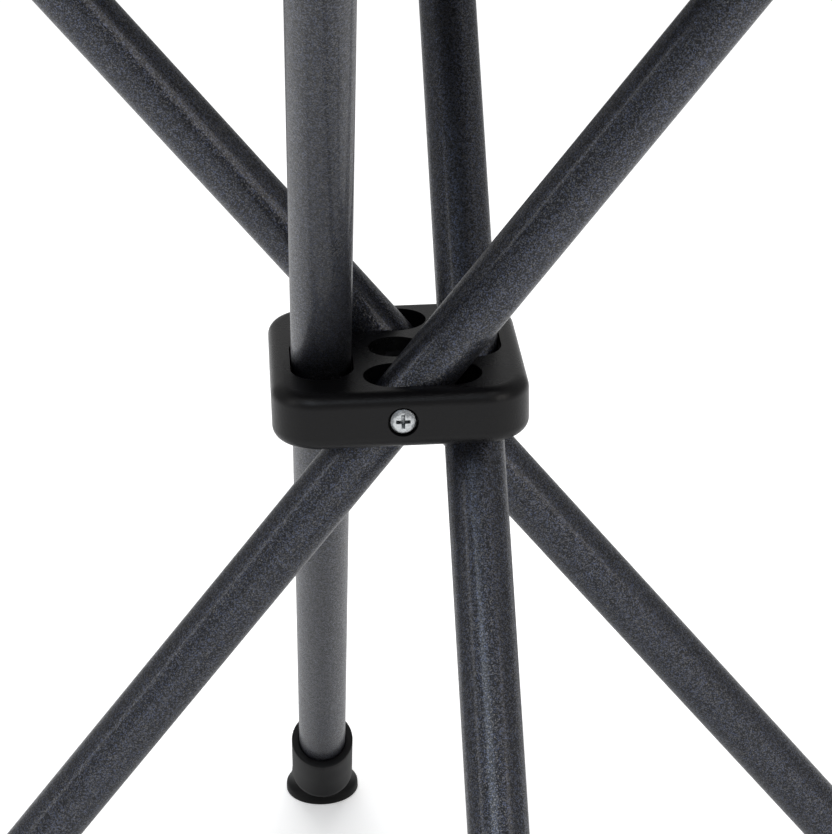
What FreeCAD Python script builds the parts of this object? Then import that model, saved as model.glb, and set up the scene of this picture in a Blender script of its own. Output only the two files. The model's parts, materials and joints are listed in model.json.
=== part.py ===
import FreeCAD, Part
import math
import os

# Folding four-leg stool.  Four straight tubes cross one square hub like the sails of a windmill.
# Each tube turns on a screw in the hub, and a square cloth seat hangs by its corners from the four
# upper tube ends.  The tubes are modelled open, leaning against the lower ends of their slots.
# Frame: +Z up, Z = 0 on the floor, the hub's centre line on the Z axis.  Millimetres and degrees.
# The front leg turns in a plane parallel to XZ on the -Y side, and its top leans towards +X.

# ---- legs ----
TUBE_OD = 16.0
TUBE_WALL = 1.0
OPEN_ANGLE = 38.9           # each leg's lean from the vertical when the stool is open
PIVOT_HEIGHT = 240.0        # floor to the four pivot screws
TUBE_ABOVE_PIVOT = 290.0
TUBE_END_TO_SOLE = 20.0     # tube's lower end to the middle of the sole, along the tube
LEG_OFFSET = 20.0           # hub's centre line to each leg's plane

# ---- hub ----
HUB_WIDTH = 67.4
HUB_THICKNESS = 15.4
HUB_CORNER_RADIUS = 12.4
HUB_TOP_FILLET = 3.6
HUB_BOTTOM_FILLET = 3.4
HUB_HOLE_D = 14.5
SLOT_CLEARANCE = 0.35       # tube to slot wall, all round
SLOT_MOUTH_REACH = 21.6     # pivot to the far end of the slot's upper mouth, the way the leg leans
SLOT_MOUTH_DEPTH = 5.0
SLOT_BACK_ROOM = 1.2        # room behind the upright tube
THRUST_RECESS_CLEARANCE = 0.5   # radial, round the bush in the slot's walls

# ---- pivot screws, thin nuts and bushes ----
SCREW_D = 4.0
SCREW_LENGTH = 25.0
SCREW_HOLE_CLEARANCE = 0.05     # radial
HEAD_D = 7.0
HEAD_HEIGHT = 2.4
HEAD_DOME = 0.7
COUNTERBORE_D = 8.0
COUNTERBORE_DEPTH = 2.6
CROSS_WIDTH = 0.9
CROSS_LENGTH = 4.0
CROSS_DEPTH = 1.5
NUT_FLATS = 7.0
NUT_THICKNESS = 2.2
NUT_CLEARANCE = 0.05        # nut to its pocket
NUT_SEAT_RADIUS = 9.3       # hub's centre line to the face that the nut bears on
BUSH_WALL = 1.0
BUSH_PROUD = 0.1            # bush beyond the tube at each side
BUSH_FIT = 0.02             # radial, bush in the tube's cross hole
BUSH_BORE_CLEARANCE = 0.05  # radial, screw in the bush

# ---- rubber feet ----
FOOT_OD = 20.8
FOOT_HEIGHT_ON_TUBE = 26.0  # tube covered by the foot
FOOT_RIM_FILLET = 0.5
FOOT_BEND_BELOW_TUBE = 2.0  # tube's end down to where the collar starts to turn upright
SOLE_D = 25.2
SOLE_THICKNESS = 4.5
SOLE_FILLET = 1.2
NECK_D = 21.2               # foot's waist, just above the sole
NECK_SHIFT = 1.6            # middle of the waist from the middle of the sole, the way the leg leans

# ---- plugs in the upper tube ends ----
CAP_HEAD_THICKNESS = 2.5
CAP_PLUG_LENGTH = 11.0
CAP_PLUG_CLEARANCE = 0.02   # radial
CAP_EDGE_FILLET = 1.2

# ---- cloth seat and its corner pockets ----
CLOTH_THICKNESS = 1.2
POCKET_WALL = 1.5
POCKET_LENGTH = 44.0
POCKET_EDGE_FILLET = 1.4
POCKET_CLEARANCE = 0.03     # radial, pocket round the tube
SEAT_BELOW_TUBE_END = 8.0   # tube's end down to the seat's corner, measured along Z
SEAT_SAG = 22.0             # seat's corners down to its middle
SEAT_TO_POCKET = 0.35       # gap from the cut corner of the cloth to the pocket
CORNER_CUT_WIDTH = 19.0     # width of the sewn edge at each corner
QUARTER_GAP = 0.3           # gap between neighbouring quarters of the seat

SIDES = ["front", "right", "back", "left"]

# ---- values that follow from the ones above ----
tube_r = TUBE_OD / 2
slot_r = tube_r + SLOT_CLEARANCE
lean = math.radians(OPEN_ANGLE)
axis_to_floor = PIVOT_HEIGHT / math.cos(lean)
tube_below_pivot = axis_to_floor - TUBE_END_TO_SOLE
leg_dir = FreeCAD.Vector(math.sin(lean), 0, math.cos(lean))
pivot = FreeCAD.Vector(0, -LEG_OFFSET, PIVOT_HEIGHT)
hub_half = HUB_WIDTH / 2
hub_top = PIVOT_HEIGHT + HUB_THICKNESS / 2
hub_bottom = PIVOT_HEIGHT - HUB_THICKNESS / 2
screw_hole_r = SCREW_D / 2 + SCREW_HOLE_CLEARANCE
bush_bore_r = SCREW_D / 2 + BUSH_BORE_CLEARANCE
bush_r = bush_bore_r + BUSH_WALL
pocket_top = TUBE_ABOVE_PIVOT + CAP_HEAD_THICKNESS + POCKET_CLEARANCE
pocket_bore_r = tube_r + POCKET_CLEARANCE
pocket_r = pocket_bore_r + POCKET_WALL
inward = FreeCAD.Vector(0, 1, 0)


def on_leg(distance):
    """Point of the front leg's axis, at a distance up the leg from its pivot."""
    return pivot + leg_dir * distance


def leg_cylinder(radius, start, end):
    """Cylinder along the front leg's axis, between two distances from the pivot."""
    return Part.makeCylinder(radius, end - start, on_leg(start), leg_dir)


def cross_cylinder(radius, y_start, y_end):
    """Cylinder along the front pivot's axis, between two Y values."""
    start = FreeCAD.Vector(0, y_start, PIVOT_HEIGHT)
    return Part.makeCylinder(radius, y_end - y_start, start, inward)


def prism(points, direction):
    """Solid made by moving a flat outline along a direction."""
    return Part.Face(Part.makePolygon(points + points[:1])).extrude(direction)


def edges_at_height(shape, z):
    """Edges of a shape that lie wholly at one height."""
    return [e for e in shape.Edges
            if abs(e.BoundBox.ZMin - z) < 1e-6 and abs(e.BoundBox.ZMax - z) < 1e-6]


def edges_at_distance(shape, distance):
    """Edges of a shape that lie wholly in the plane across the leg at one distance from its pivot."""
    found = []
    for edge in shape.Edges:
        points = edge.discretize(5)
        if all(abs((p - on_leg(distance)).dot(leg_dir)) < 1e-6 for p in points):
            found.append(edge)
    return found


def turned(shape, index):
    """Copy of a front-side shape for the side at this place in SIDES."""
    copy = shape.copy()
    copy.rotate(FreeCAD.Vector(0, 0, 0), FreeCAD.Vector(0, 0, 1), 90 * index)
    return copy


# ---------------------------------------------------------------- hub

def leg_slot():
    """All that the front tube sweeps from upright to open, and the clearance round it."""
    reach = HUB_THICKNESS
    foot = FreeCAD.Vector(0, -LEG_OFFSET, PIVOT_HEIGHT - reach)
    upright = Part.makeCylinder(slot_r, 2 * reach, foot)
    open_reach = reach / math.cos(lean)
    opened = leg_cylinder(slot_r, -open_reach, open_reach)
    slot = upright.fuse(opened)
    near_side = FreeCAD.Vector(0, -slot_r, 0)
    for way in (1, -1):
        corners = [pivot,
                   pivot + FreeCAD.Vector(0, 0, way * reach),
                   pivot + FreeCAD.Vector(way * reach * math.tan(lean), 0, way * reach)]
        slot = slot.fuse(prism([c + near_side for c in corners], inward * (2 * slot_r)))
    back = Part.makeCylinder(slot_r, 2 * reach, foot - FreeCAD.Vector(SLOT_BACK_ROOM, 0, 0))
    back_corner = foot + FreeCAD.Vector(-SLOT_BACK_ROOM, -slot_r, 0)
    back_room = Part.makeBox(SLOT_BACK_ROOM, 2 * slot_r, 2 * reach, back_corner)
    return slot.fuse([back, back_room])


def slot_mouth():
    """Straight-walled, round-ended upper mouth of the front slot, on the side the leg leans to."""
    floor = FreeCAD.Vector(0, -LEG_OFFSET, hub_top - SLOT_MOUTH_DEPTH)
    height = SLOT_MOUTH_DEPTH + 1
    to_round = SLOT_MOUTH_REACH - slot_r
    round_end = Part.makeCylinder(slot_r, height, floor + FreeCAD.Vector(to_round, 0, 0))
    straight = Part.makeBox(to_round, 2 * slot_r, height, floor - FreeCAD.Vector(0, slot_r, 0))
    return round_end.fuse(straight)


def nut_prism(flats, thickness, y_start):
    """Hexagonal prism on the front pivot's axis, with a flat at its top and bottom."""
    corner_r = flats / math.sqrt(3)
    points = []
    for k in range(6):
        turn = math.radians(60 * k)
        points.append(FreeCAD.Vector(corner_r * math.cos(turn), y_start,
                                     PIVOT_HEIGHT + corner_r * math.sin(turn)))
    return prism(points, inward * thickness)


def hub_block():
    corner = FreeCAD.Vector(-hub_half, -hub_half, hub_bottom)
    block = Part.makeBox(HUB_WIDTH, HUB_WIDTH, HUB_THICKNESS, corner)
    upright = [e for e in block.Edges if abs(e.BoundBox.ZLength - HUB_THICKNESS) < 1e-6]
    block = block.makeFillet(HUB_CORNER_RADIUS, upright)
    block = block.makeFillet(HUB_TOP_FILLET, edges_at_height(block, hub_top))
    block = block.makeFillet(HUB_BOTTOM_FILLET, edges_at_height(block, hub_bottom))
    floor_of_hole = FreeCAD.Vector(0, 0, hub_bottom - 1)
    cuts = [Part.makeCylinder(HUB_HOLE_D / 2, HUB_THICKNESS + 2, floor_of_hole)]
    counterbore = cross_cylinder(COUNTERBORE_D / 2, -hub_half - 1, -hub_half + COUNTERBORE_DEPTH)
    screw_hole = cross_cylinder(screw_hole_r, -hub_half, -HUB_HOLE_D / 4)
    nut_pocket = nut_prism(NUT_FLATS + 2 * NUT_CLEARANCE, NUT_SEAT_RADIUS - HUB_HOLE_D / 4,
                           -NUT_SEAT_RADIUS)
    recess_r = bush_r + THRUST_RECESS_CLEARANCE
    bush_recess = cross_cylinder(recess_r, -LEG_OFFSET - slot_r, -LEG_OFFSET + slot_r)
    side_cuts = [leg_slot(), slot_mouth(), bush_recess, counterbore, screw_hole, nut_pocket]
    for index in range(len(SIDES)):
        cuts += [turned(cut, index) for cut in side_cuts]
    return block.cut(cuts).removeSplitter()


# ---------------------------------------------------------------- pivots

def pivot_screw():
    """Cross-head screw from the hub's side, through the bush, into the nut."""
    head_seat = -hub_half + COUNTERBORE_DEPTH
    head_face = head_seat - HEAD_HEIGHT
    head = cross_cylinder(HEAD_D / 2, head_face, head_seat)
    rim = [e for e in head.Edges if abs(e.BoundBox.YMin - head_face) < 1e-6
           and abs(e.BoundBox.YMax - head_face) < 1e-6]
    head = head.makeFillet(HEAD_DOME, rim)
    shank = cross_cylinder(SCREW_D / 2, head_seat, head_seat + SCREW_LENGTH)
    tip = [e for e in shank.Edges if abs(e.BoundBox.YMin - head_seat - SCREW_LENGTH) < 1e-6]
    shank = shank.makeChamfer(SCREW_D / 8, tip)
    screw = head.fuse(shank)
    for size_x, size_z in ((CROSS_LENGTH, CROSS_WIDTH), (CROSS_WIDTH, CROSS_LENGTH)):
        corner = FreeCAD.Vector(-size_x / 2, head_face - 1, PIVOT_HEIGHT - size_z / 2)
        screw = screw.cut(Part.makeBox(size_x, CROSS_DEPTH + 1, size_z, corner))
    return screw.removeSplitter()


def pivot_nut():
    nut = nut_prism(NUT_FLATS, NUT_THICKNESS, -NUT_SEAT_RADIUS)
    bore = cross_cylinder(SCREW_D / 2, -NUT_SEAT_RADIUS - 1, -NUT_SEAT_RADIUS + NUT_THICKNESS + 1)
    return nut.cut(bore)


def pivot_bush():
    """Sleeve across the tube that the screw runs in."""
    ends = tube_r + BUSH_PROUD
    y_start, y_end = -LEG_OFFSET - ends, -LEG_OFFSET + ends
    outside = cross_cylinder(bush_r, y_start, y_end)
    return outside.cut(cross_cylinder(bush_bore_r, y_start - 1, y_end + 1))


# ---------------------------------------------------------------- legs

def leg_tube():
    tube = leg_cylinder(tube_r, -tube_below_pivot, TUBE_ABOVE_PIVOT)
    tube = tube.cut(leg_cylinder(tube_r - TUBE_WALL, -tube_below_pivot - 1, TUBE_ABOVE_PIVOT + 1))
    cross_r = bush_r + BUSH_FIT
    return tube.cut(cross_cylinder(cross_r, -LEG_OFFSET - TUBE_OD, -LEG_OFFSET + TUBE_OD))


def foot():
    """Rubber ferrule on the tube's lower end: a leaning collar that turns into a level, flanged sole."""
    rim = -tube_below_pivot + FOOT_HEIGHT_ON_TUBE
    bend = -tube_below_pivot - FOOT_BEND_BELOW_TUBE
    collar = leg_cylinder(FOOT_OD / 2, bend, rim)
    collar = collar.makeFillet(FOOT_RIM_FILLET, edges_at_distance(collar, rim))
    bend_circle = Part.makeCircle(FOOT_OD / 2)
    bend_circle.rotate(FreeCAD.Vector(0, 0, 0), FreeCAD.Vector(0, 1, 0), OPEN_ANGLE)
    bend_circle.translate(on_leg(bend))
    sole_middle = on_leg(-axis_to_floor)
    waist_circle = Part.makeCircle(NECK_D / 2)
    waist_circle.translate(sole_middle + FreeCAD.Vector(NECK_SHIFT, 0, SOLE_THICKNESS))
    waist = Part.makeLoft([Part.Wire(waist_circle), Part.Wire(bend_circle)], True, True)
    sole = Part.makeCylinder(SOLE_D / 2, SOLE_THICKNESS, sole_middle)
    sole = sole.makeFillet(SOLE_FILLET, edges_at_height(sole, SOLE_THICKNESS))
    socket = leg_cylinder(tube_r, -tube_below_pivot, rim + 1)
    return collar.fuse([waist, sole]).removeSplitter().cut(socket)


def top_cap():
    """Domed plug that closes the tube's upper end."""
    end = TUBE_ABOVE_PIVOT
    top = end + CAP_HEAD_THICKNESS
    head = leg_cylinder(tube_r, end, top)
    head = head.makeFillet(CAP_EDGE_FILLET, edges_at_distance(head, top))
    plug = leg_cylinder(tube_r - TUBE_WALL - CAP_PLUG_CLEARANCE, end - CAP_PLUG_LENGTH, end)
    return head.fuse(plug)


# ---------------------------------------------------------------- seat

def seat_pocket():
    """Closed cloth sleeve over the tube's upper end."""
    mouth = TUBE_ABOVE_PIVOT - POCKET_LENGTH
    top = pocket_top + POCKET_WALL
    outside = leg_cylinder(pocket_r, mouth, top)
    outside = outside.makeFillet(POCKET_EDGE_FILLET, edges_at_distance(outside, top))
    return outside.cut(leg_cylinder(pocket_bore_r, mouth - 1, pocket_top))


def seat_corner():
    """Point of the front leg's axis at the height of the seat's corner."""
    height = TUBE_ABOVE_PIVOT * math.cos(lean) - SEAT_BELOW_TUBE_END
    return pivot + FreeCAD.Vector(height * math.tan(lean), 0, height)


def seat_quarter():
    """Quarter of the seat that hangs from the front leg.

    It is a square with one corner at the leg and one at the seat's middle, sloping down to the
    middle, and its corner at the leg is cut square to the diagonal, where it is sewn to the pocket.
    """
    corner = seat_corner()
    outward = FreeCAD.Vector(corner.x, corner.y, 0)
    diagonal = outward.Length
    outward.normalize()
    across = FreeCAD.Vector(-outward.y, outward.x, 0)
    slope = SEAT_SAG / diagonal
    # The pocket leans in under the seat, so the gap to it is kept at the cloth's underside.
    reach = pocket_r / math.cos(lean) + CLOTH_THICKNESS * math.tan(lean) + SEAT_TO_POCKET
    seam = diagonal - reach / (1 - slope * math.tan(lean))

    def point(out, side):
        level = corner.z - slope * (diagonal - out)
        return outward * out + across * side + FreeCAD.Vector(0, 0, level)

    half_gap = QUARTER_GAP / math.sqrt(2)
    half_cut = CORNER_CUT_WIDTH / 2
    widest = diagonal / 2 - half_gap
    outline = [point(half_gap, 0), point(diagonal / 2, widest), point(seam, half_cut),
               point(seam, -half_cut), point(diagonal / 2, -widest)]
    return prism(outline, FreeCAD.Vector(0, 0, -CLOTH_THICKNESS))


# ---------------------------------------------------------------- all pieces

nodes = {"hub_block": hub_block()}
front_pieces = {
    "pivot_screw": pivot_screw(),
    "pivot_nut": pivot_nut(),
    "pivot_bush": pivot_bush(),
    "leg_tube": leg_tube(),
    "foot": foot(),
    "top_cap": top_cap(),
    "seat_pocket": seat_pocket(),
    "seat_quarter": seat_quarter(),
}
for piece_name, piece in front_pieces.items():
    for side_index, side in enumerate(SIDES):
        nodes[f"{piece_name}_{side}"] = turned(piece, side_index)

os.makedirs("parts", exist_ok=True)
for name, shape in nodes.items():
    shape.exportStep(f"parts/{name}.step")
    print(name, "solids", len(shape.Solids), "valid", shape.isValid(), "volume", round(shape.Volume, 1))
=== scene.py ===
import json
import math

import bmesh
import bpy
import numpy as np
from mathutils import Matrix, Vector


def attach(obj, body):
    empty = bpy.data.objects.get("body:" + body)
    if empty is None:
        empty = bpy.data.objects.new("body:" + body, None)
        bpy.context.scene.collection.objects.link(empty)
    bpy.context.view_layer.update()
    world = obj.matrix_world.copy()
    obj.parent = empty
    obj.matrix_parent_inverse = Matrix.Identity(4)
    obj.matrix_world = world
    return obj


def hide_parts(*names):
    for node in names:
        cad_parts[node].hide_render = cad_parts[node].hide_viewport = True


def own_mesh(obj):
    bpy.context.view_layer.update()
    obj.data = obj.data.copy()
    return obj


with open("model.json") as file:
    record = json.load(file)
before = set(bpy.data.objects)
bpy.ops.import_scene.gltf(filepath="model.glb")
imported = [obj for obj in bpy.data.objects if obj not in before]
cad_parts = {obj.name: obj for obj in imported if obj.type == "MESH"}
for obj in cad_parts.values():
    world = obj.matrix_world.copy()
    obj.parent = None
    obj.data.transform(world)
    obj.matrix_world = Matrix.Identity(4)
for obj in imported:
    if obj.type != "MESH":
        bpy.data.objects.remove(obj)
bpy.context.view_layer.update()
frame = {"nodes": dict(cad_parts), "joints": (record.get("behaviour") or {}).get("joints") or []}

# ---------------- sizes, in metres and radians

MM = 0.001
SIDES = ["front", "right", "back", "left"]

LEAN = math.radians(38.9)
PIVOT_HEIGHT = 240 * MM
LEG_OFFSET = 20 * MM
TUBE_R = 8 * MM
TUBE_TOP = 290 * MM             # pivot to the tube's upper end, along the leg

FOOT_R = 10.6 * MM
FOOT_RIM = 47.2 * MM            # sole to the foot's rim, along the leg
FOOT_BEND = 18 * MM             # sole to where the collar starts to turn upright
TUBE_END = 20 * MM              # sole to the tube's lower end
NECK_R = 10.75 * MM
NECK_HEIGHT = 7.0 * MM
NECK_SHIFT = 1.6 * MM

HEAD_SEAT = 31.1 * MM           # hub's centre line to the underside of a screw head
HEAD_HEIGHT = 2.45 * MM
SCREW_R = 2.0 * MM
SCREW_LENGTH = 25 * MM
THREAD_PITCH = 0.7 * MM
THREAD_DEPTH = 0.32 * MM

POCKET_R = 9.53 * MM
POCKET_BORE_R = 8.03 * MM
POCKET_MOUTH = 246 * MM         # pivot to the pocket's open end, along the leg
POCKET_TOP = 294.03 * MM
POCKET_HEM = 9 * MM

SEAT_SAG = 22 * MM
SEAT_BELOW_TUBE_END = 8 * MM
CLOTH_THICKNESS = 0.9 * MM
HEM_WIDTH = 12 * MM
HEM_EXTRA = 1.2 * MM
PATCH_LENGTH = 42 * MM
PATCH_THICKNESS = 0.75 * MM
PATCH_EDGE_ROUND = 0.6 * MM
PATCH_GAP = 0.03 * MM           # room between the cloth and a patch
TAB_LENGTH = 13 * MM
TAB_HALF_WIDTH = 9.5 * MM
TAB_LIFT = 0.8 * MM             # underside of a tab above the cloth, so that it clears the patch
TAB_STITCH_LIFT = 1.57 * MM
STITCH_LENGTH = 2.9 * MM
STITCH_GAP = 0.9 * MM
THREAD_R = 0.24 * MM
HEM_STITCH_INSETS = (3.2 * MM, 9.8 * MM)
POCKET_STITCH_INSETS = (2.4 * MM, 6.8 * MM)

# Numbers for drawing the seat's pieces together when a leg folds: share of width kept, and shift to the
# middle.
FOLD_CLOTH = (0.04, 7 * MM)
FOLD_TAB_OVER = (0.35, 2.5 * MM)
FOLD_TAB_UNDER = (0.10, 7 * MM)

LEG_DIR = Vector((math.sin(LEAN), 0, math.cos(LEAN)))
LEG_DOWN_SIDE = Vector((math.cos(LEAN), 0, -math.sin(LEAN)))    # across the leg, towards its underside
SIDEWAYS = Vector((0, 1, 0))
PIVOT = Vector((0, -LEG_OFFSET, PIVOT_HEIGHT))
SOLE_MIDDLE = PIVOT - LEG_DIR * (PIVOT_HEIGHT / math.cos(LEAN))

SEAT_CORNER_RISE = TUBE_TOP * math.cos(LEAN) - SEAT_BELOW_TUBE_END
SEAT_CORNER = PIVOT + Vector((SEAT_CORNER_RISE * math.tan(LEAN), 0, SEAT_CORNER_RISE))
SEAT_DIAGONAL = math.hypot(SEAT_CORNER.x, SEAT_CORNER.y)
SEAT_TURN = math.atan2(SEAT_CORNER.y, SEAT_CORNER.x)
SEAT_HALF = SEAT_DIAGONAL / math.sqrt(2)
SEAT_SLOPE = SEAT_SAG / SEAT_DIAGONAL
DRAPE_JOINTS = {j["name"]: j for j in frame["joints"] if j["name"].endswith("_drape")}
HINGE = Vector(DRAPE_JOINTS["seat_front_drape"]["pos_m"])
SEAM_OUT = math.hypot(HINGE.x, HINGE.y)     # seat's middle to the sewn edge at each corner


def side_turn(index):
    """Turns a front-side shape to the side at this place in SIDES."""
    return Matrix.Rotation(math.pi / 2 * index, 4, "Z")


# ---------------- mesh helpers

def new_object(name, data):
    made = bpy.data.objects.new(name, data)
    bpy.context.scene.collection.objects.link(made)
    return made


def new_mesh(name, verts, faces):
    mesh = bpy.data.meshes.new(name)
    mesh.from_pydata([tuple(v) for v in verts], [], [tuple(f) for f in faces])
    return mesh


def new_piece(name, verts, faces, material, body, uvs=None):
    mesh = new_mesh(name, verts, faces)
    mesh.validate()
    if uvs is not None:
        layer = mesh.uv_layers.new(name="cloth")
        for loop in mesh.loops:
            layer.data[loop.index].uv = uvs[loop.vertex_index]
    for polygon in mesh.polygons:
        polygon.use_smooth = True
    mesh.materials.append(material)
    piece = new_object(name, mesh)
    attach(piece, body)
    return piece


def sharpen(piece, degrees):
    """Splits the shading at edges sharper than this, and leaves the rest smooth."""
    mesh = piece.data
    bm = bmesh.new()
    bm.from_mesh(mesh)
    for edge in bm.edges:
        if len(edge.link_faces) == 2:
            edge.smooth = edge.calc_face_angle(0) < math.radians(degrees)
    bm.to_mesh(mesh)
    bm.free()


def ring_faces(rings, around):
    """Quads between rings of points that are numbered one ring after another, closed at both ends."""
    faces = []
    for r in range(rings - 1):
        for k in range(around):
            after = (k + 1) % around
            faces.append((r * around + k, r * around + after,
                          (r + 1) * around + after, (r + 1) * around + k))
    faces.append(tuple(reversed(range(around))))
    faces.append(tuple(range((rings - 1) * around, rings * around)))
    return faces


def smooth_step(value, start, end):
    t = np.clip((value - start) / (end - start), 0, 1)
    return t * t * (3 - 2 * t)


# ---------------- node helpers

class Wiring:
    """Adds nodes to a tree: sockets are given as a dict of links or plain values."""

    def __init__(self, tree):
        self.tree = tree

    def add(self, kind, sockets=None, **settings):
        node = self.tree.nodes.new(kind)
        for key, value in settings.items():
            setattr(node, key, value)
        for key, source in (sockets or {}).items():
            if isinstance(source, bpy.types.NodeSocket):
                self.tree.links.new(source, node.inputs[key])
            else:
                node.inputs[key].default_value = source
        return node

    def join(self, source, target):
        self.tree.links.new(source, target)

    def feed(self, shader, **sources):
        """Joins sources to the shader's sockets, named with underscores for spaces."""
        for key, source in sources.items():
            self.join(source, shader.inputs[key.replace("_", " ")])

    def bump(self, shader, height, strength, distance, invert=False, **sockets):
        """Bumps a shader's surface by a height that varies over it."""
        sockets = {"Height": height, "Strength": strength, "Distance": distance, **sockets}
        self.join(self.add("ShaderNodeBump", sockets, invert=invert).outputs[0], shader.inputs["Normal"])

    def object_place(self):
        return self.add("ShaderNodeTexCoord").outputs["Object"]

    def cloth_place(self):
        return self.add("ShaderNodeUVMap", uv_map="cloth").outputs[0]

    def noise(self, place, scale, detail, roughness=0.5):
        sockets = {"Vector": place, "Scale": scale, "Detail": detail, "Roughness": roughness}
        return self.add("ShaderNodeTexNoise", sockets).outputs["Fac"]

    def math(self, operation, a, b=0.0):
        return self.add("ShaderNodeMath", {0: a, 1: b}, operation=operation).outputs[0]

    def vector(self, operation, a, b=(0, 0, 0)):
        return self.add("ShaderNodeVectorMath", {0: a, 1: b}, operation=operation).outputs[0]

    def scaled(self, vector, factor):
        node = self.add("ShaderNodeVectorMath", {0: vector, "Scale": factor}, operation="SCALE")
        return node.outputs[0]

    def blend_value(self, factor, a, b):
        node = self.add("ShaderNodeMix", {0: factor, 2: a, 3: b}, data_type="FLOAT")
        return node.outputs[0]

    def blend_colour(self, factor, a, b):
        node = self.add("ShaderNodeMix", {0: factor, 6: a, 7: b}, data_type="RGBA")
        return node.outputs[2]


def effect_group(name, inputs, outputs):
    """Empty shader node group with named sockets. Returns its wiring, input node and output node."""
    tree = bpy.data.node_groups.new(name, "ShaderNodeTree")
    for label, kind, value in inputs:
        socket = tree.interface.new_socket(name=label, in_out="INPUT", socket_type="NodeSocket" + kind)
        if value is not None:
            socket.default_value = value
    for label, kind in outputs:
        tree.interface.new_socket(name=label, in_out="OUTPUT", socket_type="NodeSocket" + kind)
    wiring = Wiring(tree)
    return wiring, tree.nodes.new("NodeGroupInput"), tree.nodes.new("NodeGroupOutput")


def metal_flake_group():
    """Tiny metal flakes lying at odd angles in a paint film."""
    w, given, out = effect_group(
        "metal flake",
        [("Place", "Vector", None), ("Flakes per metre", "Float", 3000.0),
         ("Share", "Float", 0.3), ("Tilt", "Float", 0.3)],
        [("Flake", "Float"), ("Tint", "Color"), ("Normal", "Vector")])
    cells = w.add("ShaderNodeTexVoronoi", {"Vector": given.outputs["Place"],
                                           "Scale": given.outputs["Flakes per metre"]})
    chance = w.add("ShaderNodeSeparateColor", {0: cells.outputs["Color"]})
    threshold = w.math("SUBTRACT", 1.0, given.outputs["Share"])
    lit = w.math("GREATER_THAN", chance.outputs[0], threshold)
    brightness = w.math("MULTIPLY", lit, chance.outputs[1])
    tint = w.blend_colour(chance.outputs[2], (0.085, 0.105, 0.175, 1), (0.15, 0.145, 0.135, 1))
    spread = w.vector("SUBTRACT", cells.outputs["Color"], (0.5, 0.5, 0.5))
    geometry = w.add("ShaderNodeNewGeometry")
    tilted = w.vector("ADD", geometry.outputs["Normal"], w.scaled(spread, given.outputs["Tilt"]))
    w.feed(out, Flake=brightness, Tint=tint, Normal=w.vector("NORMALIZE", tilted))
    return w.tree


def surface_grain_group():
    """Fine grain, slow patches and rare scuffs of a moulded or sprayed surface."""
    w, given, out = effect_group(
        "surface grain",
        [("Place", "Vector", None), ("Grain per metre", "Float", 2500.0),
         ("Patches per metre", "Float", 40.0), ("Scuff share", "Float", 0.05)],
        [("Height", "Float"), ("Patches", "Float"), ("Scuffs", "Float")])
    grain = w.noise(given.outputs["Place"], given.outputs["Grain per metre"], 3.0, 0.6)
    patches = w.noise(given.outputs["Place"], given.outputs["Patches per metre"], 4.0, 0.55)
    stretched = w.add("ShaderNodeMapping", {"Vector": given.outputs["Place"],
                                            "Rotation": (0.4, 0.9, 0.3), "Scale": (1.0, 9.0, 1.0)})
    rubs = w.noise(stretched.outputs[0], 130.0, 6.0, 0.7)
    level = w.math("SUBTRACT", 0.78, given.outputs["Scuff share"])
    above = w.math("SUBTRACT", rubs, level)
    scuffs = w.add("ShaderNodeClamp", {0: w.math("MULTIPLY", above, 12.0)})
    w.feed(out, Height=grain, Patches=patches, Scuffs=scuffs.outputs[0])
    return w.tree


def weave_group():
    """Plain weave: threads that pass over and under each other."""
    w, given, out = effect_group(
        "plain weave",
        [("Cloth place", "Vector", None), ("Threads per metre", "Float", 1800.0)],
        [("Height", "Float"), ("Over", "Float")])
    scaled = w.scaled(given.outputs["Cloth place"], given.outputs["Threads per metre"])
    place = w.add("ShaderNodeSeparateXYZ", {0: scaled})
    across, along = place.outputs[0], place.outputs[1]
    parity = w.math("MODULO", w.math("ADD", w.math("FLOOR", across), w.math("FLOOR", along)), 2.0)
    over = w.math("ABSOLUTE", parity)
    warp = w.math("ABSOLUTE", w.math("SINE", w.math("MULTIPLY", across, math.pi)))
    weft = w.math("ABSOLUTE", w.math("SINE", w.math("MULTIPLY", along, math.pi)))
    warp_round = w.math("MULTIPLY", w.math("POWER", warp, 0.6), w.math("MULTIPLY_ADD", weft, 0.4))
    warp_round.node.inputs[2].default_value = 0.6
    weft_round = w.math("MULTIPLY", w.math("POWER", weft, 0.6), w.math("MULTIPLY_ADD", warp, 0.4))
    weft_round.node.inputs[2].default_value = 0.6
    # The second output picks which thread lies on top; the cloth uses it to give warp and weft different
    # tones as painted shade.
    w.feed(out, Height=w.blend_value(over, weft_round, warp_round), Over=over)
    return w.tree


FLAKE = metal_flake_group()
GRAIN = surface_grain_group()
WEAVE = weave_group()


def start_material(name, colour, **settings):
    """Material with one Principled BSDF whose fixed values are set on its own sockets."""
    material = bpy.data.materials.new(name)
    material.use_nodes = True
    tree = material.node_tree
    shader = tree.nodes["Principled BSDF"]
    shader.inputs["Base Color"].default_value = (*colour, 1)
    for key, value in settings.items():
        shader.inputs[key.replace("_", " ")].default_value = value
    material.diffuse_color = (*colour, 1)
    return material, Wiring(tree), shader


def grained(w, shader, colour, worn_colour, roughness, spread, grain_per_metre, bump, distance, scuff=0.05):
    """Puts the surface grain group on a material: colour, roughness and bump."""
    place = w.object_place()
    grain = w.add("ShaderNodeGroup", {"Place": place, "Grain per metre": grain_per_metre,
                                      "Scuff share": scuff}, node_tree=GRAIN)
    mixed = w.blend_colour(grain.outputs["Scuffs"], (*colour, 1), (*worn_colour, 1))
    rough = w.add("ShaderNodeMapRange", {0: grain.outputs["Patches"], 3: roughness - spread,
                                         4: roughness + spread})
    w.feed(shader, Base_Color=mixed, Roughness=rough.outputs[0])
    w.bump(shader, grain.outputs["Height"], bump, distance)
    return place, grain


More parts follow.
